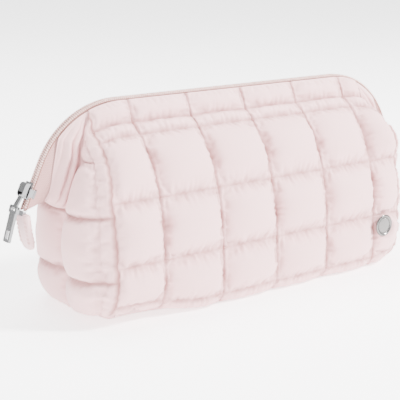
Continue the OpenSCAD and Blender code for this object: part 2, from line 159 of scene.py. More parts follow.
def wander(places, length, seed):
    """A jagged line between -1 and 1 that changes side about every length, as a puckered seam does."""
    rng = np.random.default_rng(seed)
    knots, values, side = [places[0] - length], [0.0], 1
    while knots[-1] < places[-1] + length:
        knots.append(knots[-1] + length * rng.uniform(0.35, 0.65))
        values.append(side * rng.uniform(0.45, 1.0))
        side = -side
    return np.interp(places, knots, values)


def drift(places, length, seed):
    """A slow smooth line between about -1 and 1."""
    rng = np.random.default_rng(seed)
    total = np.zeros_like(places, dtype=float)
    for k in range(1, 4):
        total += np.sin(places * 2 * math.pi * k / length + rng.uniform(0, 7)) / k
    return total / 1.6


# ---- mesh helpers
def grid_faces(rows, cols, flip, first=0):
    index = np.arange(rows * cols).reshape(rows, cols) + first
    corners = [index[:-1, :-1], index[:-1, 1:], index[1:, 1:], index[1:, :-1]]
    quads = np.stack(corners[::-1] if flip else corners, -1).reshape(-1, 4)
    return quads.tolist()


def lengths_along(points, axis):
    steps = np.linalg.norm(np.diff(points, axis=axis), axis=-1)
    pad = [(0, 0), (0, 0)]
    pad[axis] = (1, 0)
    return np.cumsum(np.pad(steps, pad), axis=axis)


def around(points, step):
    """The mean of the four points a step away along the grid."""
    padded = np.pad(points, [(step, step), (step, step)] + [(0, 0)] * (points.ndim - 2), mode="edge")
    left, right = padded[step:-step, : -2 * step], padded[step:-step, 2 * step :]
    below, above = padded[: -2 * step, step:-step], padded[2 * step :, step:-step]
    return (left + right + below + above) / 4


def grid_normals(points, flip=False):
    normal = np.cross(np.gradient(points, axis=1), np.gradient(points, axis=0))
    normal /= np.linalg.norm(normal, axis=-1, keepdims=True) + 1e-9
    return -normal if flip else normal


def hollows(points, step=3):
    """How far each point of a grid lies inside the surface around it, in millimetres."""
    normal = grid_normals(points)
    bend = ((around(points, step) - points) * normal).sum(-1)
    bend[[0, -1], :] = 0
    bend[:, [0, -1]] = 0
    return around(bend, 1)


def away_from(marked, step):
    """The distance of each point of a grid from the nearest marked one."""
    distance = np.where(marked, 0.0, FAR)
    for _ in range(12):
        for axis in (0, 1):
            for way in (1, -1):
                moved = np.roll(distance, way, axis)
                edge = [slice(None), slice(None)]
                edge[axis] = 0 if way == 1 else -1
                moved[tuple(edge)] = FAR
                distance = np.minimum(distance, moved + step)
    return distance


def calmed(points, pinned):
    """Stuffed cloth with its puckers near the seams only, and smooth over the middle of each puff."""
    share = smooth((away_from(pinned, CLOTH_STEP) - CALM_FROM) / CALM_OVER)[..., None]
    for _ in range(CALM_PASSES):
        points = points + CALM_STEP * share * (around(points, 1) - points)
    return points


def ruffled(points, row_seams, col_seams, seed):
    """Small sharp puckers along both sides of every seam."""
    lift = np.zeros(points.shape[:2])
    for axis, seams in ((1, row_seams), (0, col_seams)):
        along = np.arange(points.shape[axis]) * CLOTH_STEP
        across = np.arange(points.shape[1 - axis])
        for k, seam in enumerate(seams):
            for side in (-1, 1):
                wave = wander(along, RUFFLE_LENGTH, seed + 100 * axis + 10 * k + side)
                away = np.clip((across - seam) * side * CLOTH_STEP / RUFFLE_FROM_SEAM, 0, None)
                band = np.where(away > RUFFLE_REACH, 0, away * np.exp(1 - away))
                lift += RUFFLE_HIGH * (np.outer(band, wave) if axis == 1 else np.outer(wave, band))
    return points + grid_normals(points) * lift[..., None]


def seam_shading(marked, shading, width):
    """How strongly a seam darkens the grid around it with painted shade."""
    return shading * np.exp(-((away_from(marked, CLOTH_STEP) / width) ** 2))


def new_object(name, data):
    obj = bpy.data.objects.new(name, data)
    bpy.context.scene.collection.objects.link(obj)
    return obj


def cloth_object(name, grids, flips, subdivide=1, weld=0.02, seam_shades=None):
    """One object from grids of points, with cloth lengths as UVs and, as an attribute, painted shade that
    grows with the depth of its folds and near given seams.
    """
    verts, faces, uvs, deep = [], [], [], []
    for number, (points, flip) in enumerate(zip(grids, flips)):
        faces += grid_faces(*points.shape[:2], flip, len(verts))
        verts += points.reshape(-1, 3).tolist()
        across = lengths_along(points, 1)
        up = lengths_along(points, 0)
        uvs += np.stack([across, up], -1).reshape(-1, 2).tolist()
        sign = -1 if flip else 1
        # Painted shade: hollows and the given seam shades darken the cloth's colour through this attribute
        fold = np.clip(hollows(points) * sign / FOLD_DEPTH, 0, 1) * FOLD_SHADING
        if seam_shades:
            fold = np.maximum(fold, seam_shades[number])
        deep += fold.reshape(-1).tolist()
    mesh = bpy.data.meshes.new(name)
    mesh.from_pydata((np.array(verts) * MM).tolist(), [], faces)
    layer = mesh.uv_layers.new(name="cloth")
    loops = np.zeros(len(mesh.loops), int)
    mesh.loops.foreach_get("vertex_index", loops)
    layer.data.foreach_set("uv", (np.array(uvs)[loops] * 0.01).ravel())
    attribute = mesh.attributes.new("fold", "FLOAT", "POINT")
    attribute.data.foreach_set("value", np.array(deep, dtype=np.float32))
    bm = bmesh.new()
    bm.from_mesh(mesh)
    bmesh.ops.remove_doubles(bm, verts=bm.verts, dist=weld * MM)
    bm.to_mesh(mesh)
    bm.free()
    mesh.polygons.foreach_set("use_smooth", [True] * len(mesh.polygons))
    obj = new_object(name, mesh)
    if subdivide:
        sub = obj.modifiers.new("smooth", "SUBSURF")
        sub.levels = sub.render_levels = subdivide
    return obj


def turned(points):
    """The same points half way round the Z axis."""
    return points * np.array([-1, -1, 1])


def blow_up(points, pinned, flip, pressure, spare, cap, frames=22):
    """Cloth a share larger than its outline, held at its seams and blown out like stuffed fabric."""
    mesh = bpy.data.meshes.new("cloth")
    rows, cols = points.shape[:2]
    mesh.from_pydata((points.reshape(-1, 3) * MM * SIM_SCALE).tolist(), [], grid_faces(rows, cols, flip))
    obj = new_object("cloth", mesh)
    group = obj.vertex_groups.new(name="seams")
    group.add(np.flatnonzero(pinned.ravel()).tolist(), 1.0, "REPLACE")
    cloth = obj.modifiers.new("Cloth", "CLOTH")
    settings = cloth.settings
    settings.quality = 7
    settings.mass = 0.12
    settings.air_damping = 4
    settings.tension_stiffness = settings.compression_stiffness = 28
    settings.shear_stiffness = 6
    settings.bending_stiffness = 0.4
    settings.tension_damping = settings.compression_damping = 8
    settings.vertex_group_mass = "seams"
    settings.pin_stiffness = 1
    settings.shrink_min = -spare
    settings.use_pressure = True
    settings.uniform_pressure_force = pressure
    settings.effector_weights.gravity = 0
    cloth.collision_settings.use_collision = False
    cloth.point_cache.frame_start = 1
    cloth.point_cache.frame_end = frames
    scene = bpy.context.scene
    for number in range(1, frames + 1):
        scene.frame_set(number)
    shape = obj.evaluated_get(bpy.context.evaluated_depsgraph_get())
    found = np.zeros(rows * cols * 3)
    shape.data.vertices.foreach_get("co", found)
    found = found.reshape(rows, cols, 3) / MM / SIM_SCALE
    bpy.data.objects.remove(obj)
    scene.frame_set(1)
    moved = found - points
    far = np.linalg.norm(moved, axis=-1, keepdims=True) + 1e-9
    return points + moved * np.minimum(1, cap / far)


# ---- the front's quilted panel
def corner_x(z):
    """How far from the middle the corner seam stands at a height."""
    return HALF_LENGTH - 6.0 * smooth((z - 76) / 50)


def rim_height(x):
    """Height of the top edge, which drops with the zip over the corners."""
    over = np.maximum(np.abs(x) - TURN_X, 0)
    return TURN_Z + np.sqrt(np.maximum((TURN_R - RIM_DROP) ** 2 - over**2, 0))


def panel_grid():
    """Points of the front's skin at its seams' depth, the pinned ones, and the seams' rows and columns."""
    marks = run_marks(SECTION)
    chords = np.diff(marks)
    rows, row_seams = split(marks, CLOTH_STEP)
    cols, col_seams = split(COLUMN_SEAMS, CLOTH_STEP)
    flat = points_at(rows, marks, SECTION)
    part = np.clip(np.searchsorted(marks, rows, side="right") - 1, 0, len(chords) - 1)
    share = (rows - np.array(marks)[part]) / chords[part]
    bow = np.array(BOW)[part] * np.sin(math.pi * share)
    way = np.gradient(flat, axis=0)
    way /= np.linalg.norm(way, axis=1, keepdims=True)
    out = np.stack([way[:, 1], -way[:, 0]], 1)
    flat = flat + out * bow[:, None]

    x = np.tile(cols, (len(rows), 1))
    y = np.tile(flat[:, :1], (1, len(cols)))
    z = np.tile(flat[:, 1:], (1, len(cols)))
    # the ends of the top row bow out further, where the gusset holds them
    side = np.where(x > 0, 1, 0)
    ends = smooth((np.abs(x) - END_FROM) / END_OVER)
    upper = np.sin(math.pi * np.clip((z - SEAM_2[1]) / (SEAM_4[1] - SEAM_2[1]), 0, 1))
    y = y + np.array(END_BOW)[side] * ends * upper
    last = COLUMN_SEAMS[-2]
    narrower = (HALF_LENGTH - corner_x(RIM[1])) / (HALF_LENGTH - last)
    at_rim = np.abs(x) - np.maximum(np.abs(x) - last, 0) * narrower
    rise = (rim_height(at_rim) - SEAM_2[1]) / (RIM[1] - SEAM_2[1])
    z = np.where(z > SEAM_2[1], SEAM_2[1] + (z - SEAM_2[1]) * rise, z)
    for way_out, seam in ((-1, COLUMN_SEAMS[1]), (1, last)):
        beyond = way_out * x > way_out * seam
        scale = (corner_x(z) - abs(seam)) / (HALF_LENGTH - abs(seam))
        x = np.where(beyond, seam + (x - seam) * scale, x)
    x = x + np.array(END_LONGER)[side] * ends * upper
    # the lower corners are rounded and lifted a little
    start, over = np.array(CORNER_FROM)[side], np.array(CORNER_OVER)[side]
    corner = smooth((np.abs(x) - start) / over)
    low = 1 - smooth((z - HEM[1]) / CORNER_HEIGHT)
    y = y - np.array(CORNER_TUCK)[side] * corner * low
    z = z + np.array(CORNER_LIFT)[side] * corner * low

    in_row = np.zeros(len(rows), bool)
    in_row[row_seams] = True
    in_col = np.zeros(len(cols), bool)
    in_col[col_seams] = True
    pinned = in_row[:, None] | in_col[None, :]
    # puckers along each seam
    deep = np.zeros_like(x)
    for k, r in enumerate(row_seams[1:-1], 1):
        wave = wander(cols, STITCH_LENGTH, 10 + k)
        z[r] += PUCKER_ALONG * wave * (0.6 if k > 3 else 1)
        deep[r] -= PUCKER_DEEP * (0.5 + 0.5 * np.abs(wander(cols, STITCH_LENGTH, 20 + k)))
    for k, c in enumerate(col_seams[1:-1], 1):
        wave = wander(rows, STITCH_LENGTH, 30 + k)
        x[:, c] += PUCKER_ALONG * wave + 0.5 * drift(rows, 90, 40 + k)
        deep[:, c] -= COLUMN_SEAM_DEEP * (0.6 + 0.4 * np.abs(wander(rows, STITCH_LENGTH, 50 + k)))
    for c, seed in ((0, 60), (len(cols) - 1, 61)):
        x[:, c] += 0.7 * wander(rows, STITCH_LENGTH * 1.6, seed)
    # a first swelling, so that the cloth knows which way to go
    col_part = np.clip(np.searchsorted(COLUMN_SEAMS, cols, side="right") - 1, 0, len(COLUMN_SEAMS) - 2)
    low = np.array(COLUMN_SEAMS)[col_part]
    wide = np.array(COLUMN_SEAMS)[col_part + 1] - low
    swell = np.sin(math.pi * share)[:, None] * np.sin(math.pi * (cols - low) / wide)[None, :]
    swell = swell * np.array([0.3, 1, 1, 1, 0.5, 0.4])[part][:, None]
    reach = deep + np.where(pinned, 0, FIRST_PUFF * swell)
    y = y + out[:, :1] * reach
    z = z + out[:, 1:] * reach
    return np.stack([x, -y, z], -1), pinned, row_seams, col_seams


def puffed(points, pinned, flip, pressure, spare, cap):
    return calmed(blow_up(points, pinned, flip, pressure, spare, cap), pinned)


panel_start, panel_pinned, panel_rows, panel_cols = panel_grid()
panel = puffed(panel_start, panel_pinned, False, pressure=22, spare=0.125, cap=12)
edges = panel[0].copy(), panel[-1].copy(), panel[:, 0].copy(), panel[:, -1].copy()
panel = ruffled(panel, panel_rows[1:-2], panel_cols[1:-1], 700)
panel[0], panel[-1], panel[:, 0], panel[:, -1] = edges


# ---- the padded ends and their fins
# The lobe's inner line by the height of the corner seam beside it: (corner height, x, y, z).
# Low down it is the valley between both lobes, and above it is the knee that the fin stands out from.
KNEE = [
    (3.0, 124.0, 0.0, 1.6), (6.8, 124.8, 0.0, 2.2), (11.0, 127.5, 0.0, 8.0), (31.0, 128.5, 0.0, 30.0),
    (60.0, 129.5, 0.0, 58.0), (73.0, 130.0, 0.0, 71.0), (76.0, 129.5, 2.6, 74.0), (80.0, 128.4, 4.4, 78.0),
    (90.0, 124.8, 5.6, 88.5), (101.0, 120.2, 5.8, 100.0), (112.0, 118.6, 5.8, 110.0),
    (122.0, 116.8, 5.3, 120.5), (131.6, 116.3, 4.8, 131.2),
]
FIN_FROM = 73.0
# Where the fin leaves the zip and the woven tape shows, as (x, z) down to the tip
FIN_FREE = [(139.1, 107.1), (140.8, 99.1), (143.0, 88.7), (144.6, 83.2), (148.0, 79.0)]
FIN_BESIDE = 1.0
FIN_LEAVES = math.radians(47)
# Half the fin's thickness from the knee out to the zip, around the wire inside it
FIN_HALF = [(0.0, 5.2), (0.15, 6.0), (0.7, 5.9), (0.88, 4.6), (1.0, 3.5)]
# How far a lobe bows out of its chord, held seams included, by the height of the corner seam
LOBE_BOW = [
    (3.0, 2.5), (6.8, 3.5), (12, 8.0), (22, 11.0), (31, 9.5), (50, 12.0), (71, 8.5), (80, 9.0), (95, 7.5),
    (103, 5.0), (110, 4.5), (120, 1.8), (131.6, 0.0),
]
LOBE_SEAMS = [31.0, 71.0, 103.0]
LOBE_HELD_FROM = 126
STRIP_WIDTH = 6.2
LOBE_CELLS = 34
PLEATS = 3.2
PLEAT_DEPTH = 4.2
FIN_CELLS = 44
# Share of the fin's height, from its top, where its lower edge starts to close, and of its width
FIN_CLOSES = 0.90
FIN_OPEN_FROM = 0.94


def table(rows, key, column=1):
    return np.interp(key, [r[0] for r in rows], [r[column] for r in rows])


def lobe_grid(corner, seed, fullness):
    """Points of one padded half end, from the corner seam to the knee, on a right-hand front corner."""
    rows = len(corner)
    height = corner[:, 2]
    knee = np.stack([table(KNEE, height, 1), -table(KNEE, height, 2), table(KNEE, height, 3)], 1)
    steps = np.linspace(0, 1, LOBE_CELLS + 1)
    chord = knee - corner
    width = np.linalg.norm(chord, axis=1)
    plan = np.stack([chord[:, 1], chord[:, 0]], 1)
    plan = np.abs(plan / (np.linalg.norm(plan, axis=1, keepdims=True) + 1e-9))
    out = np.stack([plan[:, 0], -plan[:, 1] * 0.3, np.zeros(rows)], 1)
    bow = fullness * table(LOBE_BOW, height)
    shape = np.sin(math.pi * steps**0.9)
    points = corner[:, None] + chord[:, None] * steps[None, :, None]
    points = points + out[:, None] * (bow[:, None] * shape[None, :])[..., None]
    pinned = np.zeros((rows, LOBE_CELLS + 1), bool)
    pinned[:, [0, -1]] = True
    pinned[[0, -1]] = True
    pinned[height > LOBE_HELD_FROM] = True
    seams = [int(np.argmin(np.abs(height - h))) for h in LOBE_SEAMS]
    rng = np.random.default_rng(seed)
    for k, r in enumerate(seams):
        reach = LOBE_CELLS if k < 2 else LOBE_CELLS * 3 // 4
        first = 0 if k < 2 else LOBE_CELLS // 4
        pinned[r, first : reach + 1] = True
        span = steps * width[r]
        points[r, 1:-1, 2] += (0.8 * wander(span, STITCH_LENGTH, seed + 3 + k))[1:-1]
        points[r, 1:-1, 0] -= (0.6 + 0.5 * np.abs(wander(span, STITCH_LENGTH, seed + 7 + k)))[1:-1]
    # the flat strip beside the corner seam, held by its topstitching
    strip = np.round(STRIP_WIDTH / np.maximum(width, 1) * LOBE_CELLS).astype(int)
    strip = np.clip(strip, 2, LOBE_CELLS // 2)
    wave = wander(np.arange(rows) * CLOTH_STEP, STITCH_LENGTH, seed + 11)
    for r in range(1, rows - 1):
        if height[r] < UP_TO_STRIP:
            pinned[r, strip[r]] = True
            points[r, strip[r], 0] -= 0.9 + 0.6 * abs(wave[r])
            points[r, strip[r], 1] += 0.6 * wave[r]
    # the first swelling
    loose = np.where(pinned, 0, 1.2 + 0.3 * rng.random())
    points = points + out[:, None] * loose[..., None]
    return points, pinned, strip


def fin_edge(rows):
    """The fin's outer edge from its tip to the top corner: beside the zip, then down across the tape."""
    r = TURN_R - FIN_BESIDE
    angle = np.linspace(math.asin((corner_x(RIM[1]) - TURN_X) / r), FIN_LEAVES, 12)
    points = [(TURN_X + r * math.sin(a), TURN_Z + r * math.cos(a)) for a in angle] + FIN_FREE
    marks = run_marks(points)
    return points_at(np.linspace(1, 0, rows) * marks[-1], marks, points)


def fin_grid(knee, seed, swell):
    """Points of one pleated fin, from the knee out to the zip, on a right-hand front corner."""
    down = np.linspace(1, 0, len(knee))[:, None]
    edge = fin_edge(len(knee))
    across = np.linspace(0, 1, FIN_CELLS + 1)
    start = knee[:, [0, 2]]
    flat = start[:, None] + (edge - start)[:, None] * across[None, :, None]
    # the lower edge sags between the knee and the tip
    flat[..., 1] -= 2.0 * down**6 * np.sin(math.pi * across)
    # pleats run down from the zip: wide rounded folds with sharp valleys between them
    wavy = 0.05 * drift(down * 60, 50, seed) + 0.03 * np.sin(9 * down + 4 * across)
    fold = np.abs(np.sin(math.pi * PLEATS * (across + wavy) + 0.6)) ** 0.55
    grow = smooth(down * 1.8) * np.sin(math.pi * np.clip(across * 1.05, 0, 1)) ** 0.7
    flatter = smooth(down * 4)
    thick = table(FIN_HALF, across) * flatter + (5.0 - 1.5 * across) * (1 - flatter)
    thick = thick + PLEAT_DEPTH * grow * (fold - 0.1)
    thick = thick + swell * grow * np.sin(math.pi * across) ** 0.6
    blend = smooth(across / 0.12)
    thick = -knee[:, 1:2] * (1 - blend) + thick * blend
    # both halves meet in the fold along the lower edge
    shut = np.clip((down - FIN_CLOSES) / (1 - FIN_CLOSES), 0, 1)
    thick = np.where(across < FIN_OPEN_FROM, thick * np.sqrt(1 - shut**2), thick)
    return np.stack([flat[..., 0], -thick, flat[..., 1]], -1)


def end_piece(corner, seed, fullness, swell):
    """The lobe and the fin of a right-hand front corner, as two grids that share the knee."""
    points, pinned, strip = lobe_grid(corner, seed, fullness)
    lobe = puffed(points, pinned, False, pressure=16, spare=0.10, cap=8)
    seams = np.zeros(pinned.shape, bool)
    seams[[r for r in range(1, len(pinned) - 1) if pinned[r, LOBE_CELLS // 2]]] = True
    first = np.zeros(pinned.shape, bool)
    first[:, 0] = True
    # Painted shade along the lobe's quilting seams and beside its corner seam
    seam_shades = np.maximum(
        seam_shading(seams & pinned, ROW_SEAM_SHADING, SEAM_SHADING_WIDTH),
        seam_shading(first, CORNER_SEAM_SHADING, CORNER_SHADING_WIDTH),
    )
    from_row = int(np.argmin(np.abs(corner[:, 2] - FIN_FROM)))
    fin = fin_grid(lobe[from_row:, -1], seed, swell)
    fin[:, 0] = lobe[from_row:, -1]
    return lobe, fin, strip, seam_shades


MIRROR_X = np.array([-1, 1, 1])
right_lobe, right_fin, right_strip, right_seam_shades = end_piece(panel[:, -1], 200, 0.8, 3.5)
left_lobe, left_fin, left_strip, left_seam_shades = end_piece(panel[:, 0] * MIRROR_X, 300, 1.3, 0.0)
left_lobe, left_fin = left_lobe * MIRROR_X, left_fin * MIRROR_X


# ---- badge seat, rim and panels
badge_low, badge_high = (np.array(c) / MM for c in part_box("badge"))
badge_centre = (badge_low + badge_high) / 2
badge_face = badge_low[1]
BADGE_THICKNESS = 1.6
SEAT_GAP = 0.25
SEAT_WIDER = 0.6
SEAT_REACH = 2.2
badge_r = (badge_high[0] - badge_low[0]) / 2


def press_badge(points):
    """The padded front pressed in behind the badge, with the slope of padding that rises round it."""
    away = np.hypot(points[..., 0] - badge_centre[0], points[..., 2] - badge_centre[2])
    slope = np.maximum(away - badge_r - SEAT_WIDER, 0)
    limit = badge_face + BADGE_THICKNESS + SEAT_GAP - 1.4 * np.sqrt(slope) - 0.35 * slope
    pressed = points.copy()
    near = away < badge_r * SEAT_REACH
    pressed[..., 1] = np.where(near, np.maximum(points[..., 1], limit), points[..., 1])
    return pressed


# How the top edge folds over, as (distance in front of the middle plane, rise)
RIM_TURN = [(4.6, 0.3), (4.2, 0.35), (3.85, 0.0), (3.65, -1.2), (3.6, -3.2)]


def with_rim(points):
    """The panel with its top edge folded over towards the zip tape."""
    top = points[-1]
    extra = [np.stack([top[:, 0], np.full(len(top), -y), top[:, 2] + dz], 1) for y, dz in RIM_TURN]
    return np.concatenate([points, np.array(extra)])


def panel_seam_shades():
    """How strongly each point of the panel is darkened by painted shade from a seam beside it."""
    total = np.zeros(panel.shape[:2])
    for where, shading, width in (
        (np.s_[panel_rows[1:-1]], ROW_SEAM_SHADING, SEAM_SHADING_WIDTH),
        (np.s_[:, panel_cols[1:-1]], COLUMN_SEAM_SHADING, SEAM_SHADING_WIDTH),
        (np.s_[:, [0, -1]], CORNER_SEAM_SHADING, CORNER_SHADING_WIDTH),
    ):
        marked = np.zeros(total.shape, bool)
        marked[where] = True
        total = np.maximum(total, seam_shading(marked, shading, width))
    total *= 0.75 + 0.25 * np.sin(panel[..., 2] / 3.1 + panel[..., 0] / 2.3)
    return np.pad(total, ((0, len(RIM_TURN)), (0, 0)))


# Painted shade along the panel's seams, for the front and the back
shadings = [panel_seam_shades()]
front_points = with_rim(press_badge(panel))
back_points = turned(with_rim(panel))
front_panel = cloth_object("front_quilted_panel", [front_points], [False], seam_shades=shadings)
back_panel = cloth_object("back_quilted_panel", [back_points], [False], seam_shades=shadings)
ends = {}
for name, lobe, fin, crease, flip in (
    ("left_front_gusset", left_lobe, left_fin, left_seam_shades, True),
    ("right_front_gusset", right_lobe, right_fin, right_seam_shades, False),
    ("right_back_gusset", turned(left_lobe), turned(left_fin), left_seam_shades, True),
    ("left_back_gusset", turned(right_lobe), turned(right_fin), right_seam_shades, False),
):
    ends[name] = cloth_object(name, [lobe, fin], [flip, flip], seam_shades=[crease, np.zeros(fin.shape[:2])])


# ---- base
BASE_ROWS = 60
BASE_ROUND = 12.0


def base_end(front_lobe, back_lobe, share):
    """The base's edge along the low edges of one end, from the front to the back."""
    outline = np.concatenate([front_lobe[0], back_lobe[0][::-1]])
    return points_at(share, np.linspace(0, 1, len(outline)), outline)


def base_points():
    """The base between both hems and the low edges of the ends, flat where it rests."""
    share = np.linspace(0, 1, BASE_ROWS)
    columns = [base_end(left_lobe, turned(right_lobe), share)]
    for front, back in zip(panel[0], turned(panel[0])[::-1]):
        columns.append(front + (back - front) * share[:, None])
    columns.append(base_end(right_lobe, turned(left_lobe), share))
    points = np.stack(columns, 1)
    depth = points[..., 1]
    sides = np.minimum(np.abs(depth - depth[:1]), np.abs(depth - depth[-1:]))
    tips = np.minimum(points[..., 0] - points[:, :1, 0], points[:, -1:, 0] - points[..., 0])
    down = smooth(np.minimum(sides, tips) / BASE_ROUND)
    points[..., 2] = points[..., 2] * (1 - down) + 0.12 + 0.1 * np.sin(points[..., 0] / 9) * down
    points[..., 2] = np.maximum(points[..., 2], 0.02)
    return points


base = cloth_object("base_pad", [base_points()], [True])


# ---- lining
LINING = [
    (0.0, 5.4), (36.5, 5.4), (39.0, 10.0), (37.6, 39.5),
    (32.4, 79.3), (12.4, 112.0), (5.2, 121.0), (3.1, 131.5),
]
LINING_INSET = 2.5
LINING_BELOW_RIM = 2.3
LINING_STRAIGHT = 97
LINING_END_X = 120.6
LINING_END_TOP = 76


def lining_points(seed):
    """One half of the lining: its side of the bag and of the floor, with soft wrinkles."""
    marks = run_marks(LINING)
    rows, _ = split(marks, 3.0)
    half = HALF_LENGTH - LINING_INSET
    xs = np.linspace(-half, half, 100)
    x = np.tile(xs, (len(rows), 1))
    y, z = (np.tile(column[:, None], (1, len(xs))) for column in points_at(rows, marks, LINING).T)
    rise = (rim_height(x) - LINING_BELOW_RIM - SEAM_2[1]) / (LINING[-1][1] - SEAM_2[1])
    z = np.where(z > SEAM_2[1], SEAM_2[1] + (z - SEAM_2[1]) * rise, z)
    beyond = np.abs(x) - LINING_STRAIGHT
    scale = (corner_x(z) - LINING_INSET - LINING_STRAIGHT) / (half - LINING_STRAIGHT)
    x = np.where(beyond > 0, np.sign(x) * (LINING_STRAIGHT + beyond * scale), x)
    soft = smooth((z - 8) / 12) * smooth((LINING[-1][1] - z) / 10)
    crease = 0.7 * drift(xs, 70, seed)[None, :] * np.sin(rows / 11)[:, None]
    crease += 0.5 * np.sin(xs / 5.3 + rows[:, None] / 23 + seed)
    return np.stack([x, -(y - 0.5 * soft + soft * crease), z], -1)


def lining_end(side_column, side):
    """The lining's end wall, from one side's lining to the middle."""
    low = side_column[side_column[:, 2] < LINING_END_TOP]
    steps = np.linspace(0, 1, 22)
    middle = np.stack([np.full(len(low), side * LINING_END_X), np.zeros(len(low)), low[:, 2]], 1)
    return low[:, None] + (middle - low)[:, None] * steps[None, :, None]


def lining_piece(name, points, first, last):
    """One half of the lining with its two end walls."""
    walls = [lining_end(points[:, 0], first), lining_end(points[:, -1], last)]
    return cloth_object(name, [points, *walls], [True, True, False])


front_lining = lining_piece("front_lining", lining_points(5), LEFT, RIGHT)
back_lining = lining_piece("back_lining", turned(lining_points(9)), RIGHT, LEFT)


# ---- zip
def zip_place(at, off):
    """Points of the zip line: at runs from its middle towards an end, off is out of the bag."""
    at, off = np.broadcast_arrays(np.asarray(at, float), np.asarray(off, float))
    side, run = np.sign(at + 1e-12), np.abs(at)
    arc = TURN_R * TAIL_ANGLE
    angle = np.clip((run - TURN_X) / TURN_R, 0, TAIL_ANGLE)
    tail = np.maximum(run - TURN_X - arc, 0)
    x = np.minimum(run, TURN_X) + (TURN_R + off) * np.sin(angle) + tail * math.cos(TAIL_ANGLE)
    z = TURN_Z + (TURN_R + off) * np.cos(angle) - tail * math.sin(TAIL_ANGLE)
    return np.stack([side * x, np.zeros_like(x), z], -1)


def zip_frame(at):
    """The line's direction and its outward normal at a place."""
    here, ahead = zip_place(at, 0), zip_place(at + 0.05, 0)
    way = ahead - here
    way /= np.linalg.norm(way, axis=-1, keepdims=True)
    return way, zip_place(at, 1) - here


ZIP_END = TURN_X + TURN_R * TAIL_ANGLE + TAIL_LENGTH
TAPE_OFFSETS = [1.0, 0.0, -1.2, -2.4, -4.0, -6.0, -8.0, -10.0, -11.6]
TAPE_CUT = 10.5


def tape_grid(seed):
    """One side's woven tape, cut at a slant at each end."""
    run = np.linspace(-1, 1, 300)
    rows = []
    for off in TAPE_OFFSETS:
        end = ZIP_END - TAPE_CUT * np.clip(-off / 11.0, 0, 1)
        at = run * end
        points = zip_place(at, np.full_like(at, off))
        depth = 1.9 + 0.09 * np.clip(-off, 0, 12) + 0.12 * drift(at, 60, seed)
        points[:, 1] = -depth
        rows.append(points)
    return np.array(rows)


def ring_mesh(name, rings):
    """A closed skin over rings of points; rings is (bodies, rings, points in a ring, 3)."""
    count, deep, wide = rings.shape[:3]
    one = np.arange(deep * wide).reshape(deep, wide)
    corners = [one[:-1], np.roll(one[:-1], -1, 1), np.roll(one[1:], -1, 1), one[1:]]
    quads = np.stack(corners, -1).reshape(-1, 4)
    faces = []
    for start in range(0, count * deep * wide, deep * wide):
        faces += (quads + start).tolist()
        faces += [(one[0][::-1] + start).tolist(), (one[-1] + start).tolist()]
    mesh = bpy.data.meshes.new(name)
    mesh.from_pydata((rings.reshape(-1, 3) * MM).tolist(), [], faces)
    mesh.polygons.foreach_set("use_smooth", [True] * len(mesh.polygons))
    return new_object(name, mesh)


def capsules(name, centres, along, up, length, width, height, around=8):
    """Small rounded bars, such as stitches and zip teeth, each along its own direction."""
    along = along / np.linalg.norm(along, axis=-1, keepdims=True)
    side = np.cross(up, along)
    side /= np.linalg.norm(side, axis=-1, keepdims=True) + 1e-9
    up = np.cross(along, side)
    profile = [(-1.0, 0.25), (-0.86, 0.75), (-0.45, 1.0), (0.45, 1.0), (0.86, 0.75), (1.0, 0.25)]
    turn = circle(around)
    rings = [
        centres[:, None] + along[:, None] * place * length / 2
        + side[:, None] * (np.cos(turn) * wide * width / 2)[None, :, None]
        + up[:, None] * (np.sin(turn) * wide * height / 2)[None, :, None]
        for place, wide in profile
    ]
    return ring_mesh(name, np.stack(rings, 1))


TOOTH_PITCH = 1.5
TOOTH_LENGTH, TOOTH_WIDTH, TOOTH_HEIGHT = 2.75, 1.05, 2.5
TOOTH_LEAN = 0.22
COIL_Y = 1.62
CORD_Y = 2.95
CORD_SUNK = 0.35
CORD_R = 0.3


def coil_piece(name, side):
    """One side's row of nylon teeth. The two sides mesh half a pitch apart."""
    count = int(2 * (ZIP_END - 0.8) / TOOTH_PITCH)
    at = (np.arange(count) - (count - 1) / 2 + (0.25 if side == FRONT else -0.25)) * TOOTH_PITCH
    way, out = zip_frame(at)
    centres = zip_place(at, np.zeros_like(at))
    centres[:, 1] = -side * COIL_Y
    across = np.tile(np.array([0.0, 1.0, 0.0]), (count, 1)) + TOOTH_LEAN * way
    return capsules(name, centres, across, out, TOOTH_LENGTH, TOOTH_WIDTH, TOOTH_HEIGHT)


def tube(name, line, up, radius, around=8):
    """A thread or wire along a line of points."""
    way = np.gradient(line, axis=0)
    way /= np.linalg.norm(way, axis=1, keepdims=True)
    side = np.cross(way, up)
    side /= np.linalg.norm(side, axis=1, keepdims=True)
    top = np.cross(side, way)
    turn = circle(around)[None, :, None]
    ring = line[:, None] + radius * (side[:, None] * np.cos(turn) + top[:, None] * np.sin(turn))
    return ring_mesh(name, ring[None])


def coil_cord(name, side):
    """The sewn cord along the outer side of one row of teeth; its dark brown colour is partly the cord's own
    and partly painted shade between the coil and the tape.
    """
    at = np.linspace(-ZIP_END, ZIP_END, 420)
    _, out = zip_frame(at)
    line = zip_place(at, np.full_like(at, -CORD_SUNK))
    line[:, 1] = -side * CORD_Y
    return tube(name, line, out, CORD_R)


front_tape = cloth_object("front_zip_tape_cloth", [tape_grid(3)], [True], subdivide=0)
back_tape = cloth_object("back_zip_tape_cloth", [turned(tape_grid(4))], [True], subdivide=0)
for tape in (front_tape, back_tape):
    thick = tape.modifiers.new("thickness", "SOLIDIFY")
    thick.thickness = 0.5 * MM
    thick.offset = 0
front_coil = coil_piece("front_zip_teeth", FRONT)
back_coil = coil_piece("back_zip_teeth", BACK)
front_cord = coil_cord("front_zip_cord", FRONT)
back_cord = coil_cord("back_zip_cord", BACK)


